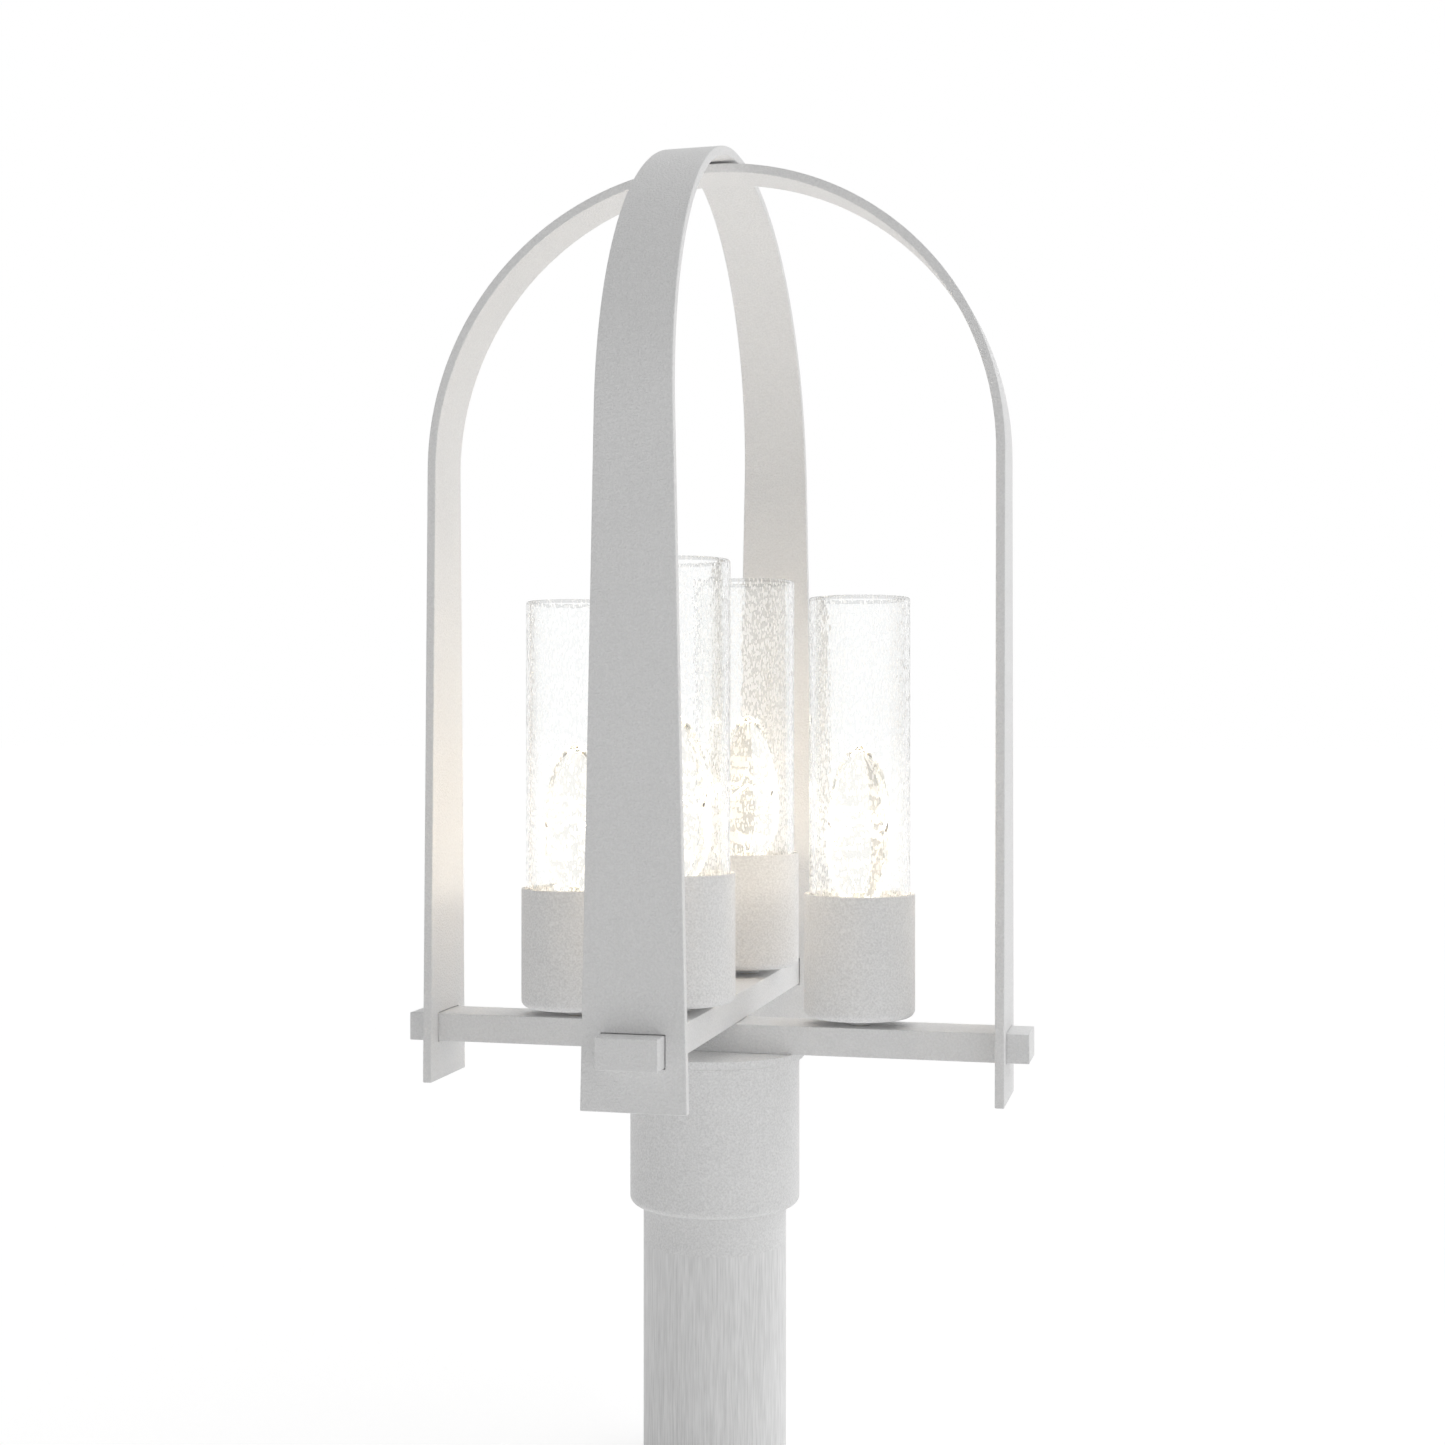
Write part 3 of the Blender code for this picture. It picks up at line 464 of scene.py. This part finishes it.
def make_fitter(coat, steel):
    """Sleeve with its rounded foot and screw holes, plate, and set screws."""
    _, _, radius, low, high = round_box("fitter_sleeve")
    profile = [(SLEEVE_BORE, high)] + arc(radius - SOFT_EDGE, high - SOFT_EDGE, SOFT_EDGE, 90, 0, 4)
    profile += arc(radius - SLEEVE_EDGE, low + SLEEVE_EDGE, SLEEVE_EDGE, 0, -90, 14) + [(SLEEVE_BORE, low)]
    sleeve = lathe("sleeve", profile, ROUND_STEPS, closed=True)
    holes = []
    for number in (1, 2, 3):
        node = f"set_screw_{number}"
        start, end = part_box(node)
        centre = (start + end) / 2
        angle = math.atan2(centre.y, centre.x)
        lie = Matrix.Rotation(math.pi / 2, 4, "Y")
        turn = Matrix.Translation((0, 0, centre.z)) @ Matrix.Rotation(angle, 4, "Z") @ lie
        hole = prism("hole", GRUB_HOLE, SLEEVE_BORE - CUT_MARGIN, radius + CUT_MARGIN, 32)
        hole.transform(turn)
        holes.append(hole)
        tip, face = GRUB_TIP, radius - GRUB_RECESS
        rod = [(0, face), (GRUB_RADIUS - 0.0004, face), (GRUB_RADIUS, face - 0.0004),
               (GRUB_RADIUS, tip + 0.0008), (GRUB_RADIUS - 0.0008, tip), (0, tip)]
        key = prism("key", HEX_KEY, face - HEX_DEPTH, face + HEX_DEPTH, 6)
        screw = shaped(lathe(node, rod, 32), cutters=[key])
        screw.transform(turn)
        add_piece(f"grub_screw_{number}", screw, steel, node, [node])
    add_piece("sleeve", shaped(sleeve, cutters=holes), coat, "lantern", ["fitter_sleeve"])
    _, _, radius, low, _ = round_box("fitter_plate")
    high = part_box("lower_bar")[0].z
    profile = ring_profile(PLATE_BORE, radius, low, high, SOFT_EDGE)
    disc = lathe("plate", profile, ROUND_STEPS, closed=True)
    add_piece("plate", disc, coat, "lantern", ["fitter_plate"])


def make_bars(coat):
    """The two crossed bars."""
    for node in ("lower_bar", "upper_bar"):
        bar = shaped(block(node, *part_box(node)), edge=BAR_EDGE)
        add_piece(f"{node}_tube", bar, coat, "lantern", [node])


def strap_mesh(name, radius, foot_z, apex_z, foot_width):
    """Bend a tapering strip up one leg, over a half circle and down the other, in the XZ plane."""
    leg = apex_z - radius - foot_z
    bend = math.pi * radius
    length = 2 * leg + bend
    stations = [0.0, leg / 2] + [leg + bend * step / ARCH_SEGMENTS for step in range(ARCH_SEGMENTS + 1)]
    stations += [length - leg / 2, length]
    shape = bmesh.new()
    rows = []
    for station in stations:
        share = min(station, length - station) / (length / 2)
        half = (foot_width + (STRAP_APEX_WIDTH - foot_width) * share) / 2
        turn = math.pi * min(max((station - leg) / bend, 0.0), 1.0)
        straight = min(station, leg, length - station)
        x, z = -radius * math.cos(turn), foot_z + straight + radius * math.sin(turn)
        rows.append([shape.verts.new((x, side * half, z)) for side in (-1, 1)])
    for (a, b), (c, d) in zip(rows, rows[1:]):
        shape.faces.new((a, c, d, b))
    mesh = bpy.data.meshes.new(name)
    shape.to_mesh(mesh)
    shape.free()
    return mesh


def make_arches(coat, steel):
    """The two arch straps with their slots, and the countersunk screw that joins them."""
    quarter = Matrix.Rotation(math.pi / 2, 4, "Z")
    clear = Vector((SLOT_CLEARANCE,) * 3)
    _, _, head, tip, face = round_box("apex_screw")
    for node, bar, crosswise in (("lower_arch", "lower_bar", False), ("upper_arch", "upper_bar", True)):
        low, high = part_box(node)
        reach, foot = (high.y, high.x - low.x) if crosswise else (high.x, high.y - low.y)
        strip = strap_mesh(node, reach, low.z, high.z, foot)
        if crosswise:
            strip.transform(quarter)
        bar_low, bar_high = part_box(bar)
        cutters = [block("slot", bar_low - clear, bar_high + clear)]
        if crosswise:
            sink = [(0, face + SINK_RISE), (SINK_RADIUS, face + SINK_RISE),
                    (SINK_HOLE, face - JOINT_HEAD_DEPTH), (SINK_HOLE, low.z), (0, low.z)]
            cutters.append(lathe("sink", sink, 48))
        strap = shaped(strip, STRAP_EDGE, cutters, STRAP_THICKNESS)
        add_piece(f"{node}_strap", strap, coat, "lantern", [node])
    rod = [(0, face), (head - 0.0002, face), (head, face - 0.0002),
           (JOINT_SHANK, face - JOINT_HEAD_DEPTH), (JOINT_SHANK, tip), (0, tip)]
    key = prism("key", HEX_KEY, face - HEX_DEPTH, face + HEX_DEPTH, 6)
    screw = shaped(lathe("joint_screw", rod, 48), cutters=[key])
    add_piece("joint_screw", screw, steel, "lantern", ["apex_screw"])


def cup_mesh(radius, height):
    """A cup with a rounded foot, an eased rim and a hole for its stem."""
    bore = radius - CUP_WALL
    inner = CUP_CORNER - CUP_WALL
    rim = CUP_WALL / 2 - 0.0001
    profile = arc(radius - rim, height - rim, rim, 90, 0, 5)
    profile += arc(radius - CUP_CORNER, CUP_CORNER, CUP_CORNER, 0, -90, 12)
    profile += [(CUP_HOLE, 0), (CUP_HOLE, CUP_FLOOR)]
    profile += arc(bore - inner, CUP_FLOOR + inner, inner, -90, 0, 8)
    profile += arc(bore + rim, height - rim, rim, 180, 90, 5)
    return lathe("cup", profile, 128, closed=True)


def bulb_profile(radius, height):
    """Half of the candle outline, tip first."""
    crown = height - BULB_BELLY
    neck = math.acos(BULB_NECK / radius)
    belly = BULB_BELLY / math.sin(neck)
    points = []
    for step in range(28):
        angle = math.pi / 2 * step / 28
        points.append((radius * math.sin(angle), BULB_BELLY + crown * math.cos(angle)))
    for step in range(19):
        angle = neck * step / 18
        points.append((radius * math.cos(angle), BULB_BELLY - belly * math.sin(angle)))
    return points


def cap_mesh(length, skirt):
    """A screw cap with a rolled thread and an end contact."""
    turns = [(CAP_RADIUS, 0.0045 + (length - 0.0065 - 0.0005) * step / 40) for step in range(41)][::-1]
    profile = [(0, length), (skirt, length), (CAP_RADIUS, length - 0.002)] + turns
    profile += [(0.0042, 0.0025), (0.0025, 0.0016), (0.0022, 0.0002), (0, 0)]

    def thread(height, angle):
        if not 0.0045 <= height <= length - 0.0025:
            return 0.0
        return THREAD_DEPTH / 2 * (math.cos(math.tau * height / THREAD_PITCH - angle) - 1)

    return lathe("cap", profile, 48, wave=thread)


def wire_curve(name, runs, radius):
    """A curve with one open run of points for each wire."""
    curve = bpy.data.curves.new(name, "CURVE")
    curve.dimensions = "3D"
    curve.bevel_depth = radius
    curve.bevel_resolution = 2
    curve.use_fill_caps = True
    for run in runs:
        spline = curve.splines.new("POLY")
        spline.points.add(len(run) - 1)
        for point, place in zip(spline.points, run):
            point.co = (*place, 1)
    return curve


def coil_points(path, radius, pitch, per_turn):
    """Points of a coil wound round a path in the XZ plane."""
    points, travelled = [], 0.0
    for start, end in zip(path, path[1:]):
        start, end = Vector(start), Vector(end)
        along = (end - start).normalized()
        across, up = Vector((0, 1, 0)), along.cross(Vector((0, 1, 0)))
        count = int((end - start).length / pitch * per_turn)
        for step in range(count):
            angle = math.tau * travelled / pitch
            centre = start.lerp(end, step / count)
            points.append(centre + radius * (math.cos(angle) * across + math.sin(angle) * up))
            travelled += (end - start).length / count
    return points


def make_lamps(mats):
    """Cups, stand-offs, sockets, glasses and lit bulbs on the four sides."""
    for side in SIDES:
        x, y, radius, low, high = round_box(f"cup_{side}")
        cup = cup_mesh(radius, high - low)
        add_piece(f"shade_cup_{side}", cup, mats["round_coat"], "lantern",
                  [f"cup_{side}"], (x, y, low))
        _, _, radius, low, high = round_box(f"cup_spacer_{side}")
        ring = lathe("stand_off", ring_profile(CUP_HOLE, radius, low, high, 0.0002), 64, closed=True)
        add_piece(f"stand_off_{side}", ring, mats["coat"], "lantern",
                  [f"cup_spacer_{side}"], (x, y, 0))

        _, _, radius, low, high = round_box(f"socket_{side}")
        floor = high - SOCKET_DEPTH
        well = [(0, floor), (SOCKET_BORE, floor), (SOCKET_BORE, high - 0.0005), (SOCKET_BORE + 0.0005, high)]
        well += arc(radius - 0.0008, high - 0.0008, 0.0008, 90, 0, 4) + [(radius, low), (CUP_HOLE, low)]
        well += [(CUP_HOLE, low + SOCKET_BASE), (SOCKET_BORE, low + SOCKET_BASE),
                 (SOCKET_BORE, floor - SOCKET_FLOOR), (0, floor - SOCKET_FLOOR)]
        holder = lathe("lamp_holder", well, 64)
        add_piece(f"lamp_holder_{side}", holder, mats["phenolic"], "lantern",
                  [f"socket_{side}"], (x, y, 0))

        _, _, radius, low, high = round_box(f"glass_{side}")
        profile = ring_profile(radius - GLASS_WALL, radius, 0, high - low, GLASS_EDGE)
        tube = lathe("cylinder", profile, 128, closed=True)
        cylinder = add_piece(f"cylinder_{side}", tube, mats["seeded"], f"glass_{side}",
                             [f"glass_{side}"], (x, y, low))
        cylinder.visible_shadow = False

        _, _, radius, low, high = round_box(f"bulb_glass_{side}")
        outer = bulb_profile(radius, high - low)
        bulb = add_piece(f"candle_{side}", lathe("candle", outer + [(0, 0)], 72), mats["bulb"],
                         f"bulb_{side}", [f"bulb_glass_{side}"], (x, y, low))
        bulb.visible_shadow = False
        top = low + WIRE_TOP
        stem = [(0, low + STEM_HEIGHT)]
        stem += arc(STEM_RADIUS - STEM_EDGE, low + STEM_HEIGHT - STEM_EDGE, STEM_EDGE, 90, 0, 4)
        stem += [(STEM_RADIUS, low + 0.002), (BULB_NECK - 0.002, low + 0.0002), (0, low + 0.0002)]
        post = lathe("stem", stem, 32)
        add_piece(f"stem_{side}", post, mats["stem"], f"bulb_{side}", (), (x, y, 0))
        runs = [[(sign * 0.0011, 0, low + STEM_HEIGHT - 0.002), (sign * 0.0013, 0, low + STEM_HEIGHT + 0.002),
                 (sign * WIRE_SPREAD, 0, top)] for sign in (-1, 1)]
        wires = wire_curve("support_wires", runs, SUPPORT_WIRE)
        add_piece(f"support_wires_{side}", wires, mats["wire"], f"bulb_{side}",
                  [f"bulb_filament_{side}"], (x, y, 0))
        ends = [[Vector(run[1]).lerp(Vector(run[2]), share) for share in (0.82, 1.0)] for run in runs]
        clamps = wire_curve("clamps", ends, CLAMP_WIRE)
        add_piece(f"clamps_{side}", clamps, mats["clamp"], f"bulb_{side}", (), (x, y, 0))
        path = [(WIRE_SPREAD * (step / 2 - 1), 0, top - COIL_DIP * (step % 2)) for step in range(5)]
        coil = wire_curve("filament", [coil_points(path, COIL_RADIUS, COIL_PITCH, COIL_STEPS)], COIL_WIRE)
        add_piece(f"filament_{side}", coil, mats["glow"], f"bulb_{side}", (), (x, y, 0))
        for name, height, energy, colour in (("lamp", LAMP_HEIGHT, LAMP_POWER, (1.0, 0.72, 0.42)),
                                             ("foot", FOOT_HEIGHT, FOOT_POWER, (1.0, 0.92, 0.78)),
                                             ("glow", GLOW_HEIGHT, GLOW_POWER, (1.0, 0.92, 0.82))):
            lamp = bpy.data.lights.new(f"{name}_{side}", "POINT")
            lamp.energy = energy
            lamp.color = colour
            lamp.shadow_soft_size = LAMP_SOFTNESS
            light = link_object(f"{name}_{side}", lamp)
            light.location = (x, y, low + height)
            light.visible_camera = light.visible_glossy = light.visible_transmission = False
            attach(light, f"bulb_{side}")

        _, _, skirt, low, high = round_box(f"bulb_cap_{side}")
        add_piece(f"screw_cap_{side}", cap_mesh(high - low, skirt), mats["brass"], f"bulb_{side}",
                  [f"bulb_cap_{side}"], (x, y, low))


def dress_nodes(mats):
    """Give the CAD nodes that stay their finishes."""
    finishes = {"cup_nipple": "brass", "cup_nut": "brass", "glass_seat": "silicone", "lamp_lead": "jacket",
                "lead_connector": "nylon", "bar_screw": "zinc", "apex_washer": "zinc"}
    for name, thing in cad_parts.items():
        for start, finish in finishes.items():
            if name.startswith(start):
                thing.material_slots[0].material = mats[finish]


# Stage


def make_floor():
    """A pale floor that shows white and keeps the lantern's shadow."""
    material = bpy.data.materials.new("floor")
    material.use_nodes = True
    tree = material.node_tree
    tree.nodes.clear()
    output = add_node(tree, "ShaderNodeOutputMaterial")
    plain = add_node(tree, "ShaderNodeBsdfDiffuse", {"Color": (0.75, 0.75, 0.75, 1)})
    shown = add_node(tree, "ShaderNodeBsdfDiffuse", {"Color": (0.35, 0.35, 0.35, 1)})
    glow = add_node(tree, "ShaderNodeEmission", {"Strength": 0.73})
    both = add_node(tree, "ShaderNodeAddShader")
    mix = add_node(tree, "ShaderNodeMixShader")
    tree.links.new(shown.outputs["BSDF"], both.inputs[0])
    tree.links.new(glow.outputs["Emission"], both.inputs[1])
    tree.links.new(seen_ray(tree), mix.inputs["Fac"])
    tree.links.new(plain.outputs["BSDF"], mix.inputs[1])
    tree.links.new(both.outputs["Shader"], mix.inputs[2])
    tree.links.new(mix.outputs["Shader"], output.inputs["Surface"])
    shape = bmesh.new()
    bmesh.ops.create_grid(shape, x_segments=1, y_segments=1, size=30)
    floor = link_object("floor", finish_mesh(shape, "floor"))
    floor.data.materials.append(material)


def seen_ray(tree):
    """1 for camera, glossy and transmission rays, which show the backdrop, and 0 for the rest."""
    path = add_node(tree, "ShaderNodeLightPath")
    shiny = math_node(tree, "MAXIMUM", path.outputs["Is Glossy Ray"], path.outputs["Is Transmission Ray"])
    return math_node(tree, "MAXIMUM", path.outputs["Is Camera Ray"], shiny)


def make_world():
    """White backdrop, and an even soft light for the lantern."""
    world = bpy.data.worlds.new("studio")
    bpy.context.scene.world = world
    world.use_nodes = True
    tree = world.node_tree
    tree.nodes.clear()
    output = add_node(tree, "ShaderNodeOutputWorld")
    soft = add_node(tree, "ShaderNodeBackground", {"Color": (1, 1, 1, 1), "Strength": AMBIENT})
    white = add_node(tree, "ShaderNodeBackground", {"Color": (1, 1, 1, 1), "Strength": 1.0})
    mix = add_node(tree, "ShaderNodeMixShader")
    tree.links.new(seen_ray(tree), mix.inputs["Fac"])
    tree.links.new(soft.outputs["Background"], mix.inputs[1])
    tree.links.new(white.outputs["Background"], mix.inputs[2])
    tree.links.new(mix.outputs["Shader"], output.inputs["Surface"])


def make_lights():
    """A large soft key from the right, a soft light from above and behind, and an even glow from the floor."""
    for name, energy, angle, aim in SUNS:
        lamp = bpy.data.lights.new(name, "SUN")
        lamp.energy = energy
        lamp.angle = math.radians(angle)
        light = link_object(name, lamp)
        light.rotation_euler = Vector(aim).to_track_quat("-Z", "Y").to_euler()
        light.visible_glossy = light.visible_transmission = False
    table = bpy.data.lights.new("light_table", "AREA")
    table.size = TABLE_SIZE
    table.energy = math.pi * TABLE_SIZE ** 2 * TABLE_GLOW
    light = link_object("light_table", table)
    light.location = (0, 0, 0.001)
    light.rotation_euler = (math.pi, 0, 0)
    light.visible_camera = light.visible_glossy = light.visible_transmission = False


def make_camera():
    """The photograph's view: level, 1.07 m from the post's axis."""
    camera = bpy.data.cameras.new("camera")
    camera.lens = 50
    camera.sensor_width = 36
    camera.clip_end = 100
    thing = link_object("camera", camera)
    thing.location = CAMERA_PLACE
    thing.rotation_euler = (math.radians(90), 0, math.radians(CAMERA_TURN))
    bpy.context.scene.camera = thing


def main():
    """Dress the lantern and set its stage."""
    mats = {
        "coat": powder_coat("powder_coat", 0.042, 0.5),
        "round_coat": powder_coat("heavy_powder_coat", 0.095, 0.3),
        "post_coat": powder_coat("post_coat", 0.085, 0.2, STREAKS_BELOW),
        "seeded": seeded_glass("seeded_glass_look", GLASS_HEIGHT),
        "bulb": bulb_glass("bulb_glass_look"),
        "stem": moulding("stem_glass", (0.80, 0.80, 0.76), (0.92, 0.92, 0.88), 0.2, 500),
        # Support wires glow with painted light, though they are no lamp
        "wire": glowing_wire("support_wire_painted_glow", (0.90, 0.86, 0.80), 0.35, 0.60),
        "clamp": metal("clamp_metal", (0.10, 0.08, 0.07), (0.20, 0.17, 0.15), 0.45, 900),
        "glow": glowing_wire("hot_filament", (1.0, 0.93, 0.80), 18.0, 34.0),
        "brass": metal("brass_look", (0.60, 0.43, 0.19), (0.78, 0.60, 0.32), 0.32, 700),
        "zinc": metal("zinc_look", (0.50, 0.51, 0.53), (0.68, 0.69, 0.70), 0.36, 900),
        "phenolic": moulding("phenolic", (0.018, 0.017, 0.016), (0.045, 0.043, 0.040), 0.45, 600),
        "silicone": moulding("silicone_look", (0.74, 0.74, 0.72), (0.84, 0.84, 0.82), 0.5, 400),
        "jacket": moulding("lead_jacket_look", (0.76, 0.75, 0.71), (0.86, 0.85, 0.81), 0.5, 700),
        "nylon": moulding("nylon_look", (0.72, 0.72, 0.70), (0.84, 0.84, 0.82), 0.45, 500),
    }
    make_post(mats["post_coat"])
    make_fitter(mats["round_coat"], mats["zinc"])
    make_bars(mats["coat"])
    make_arches(mats["coat"], mats["zinc"])
    make_lamps(mats)
    dress_nodes(mats)
    make_floor()
    make_world()
    make_lights()
    make_camera()
    bpy.context.scene.view_settings.view_transform = "Standard"


main()
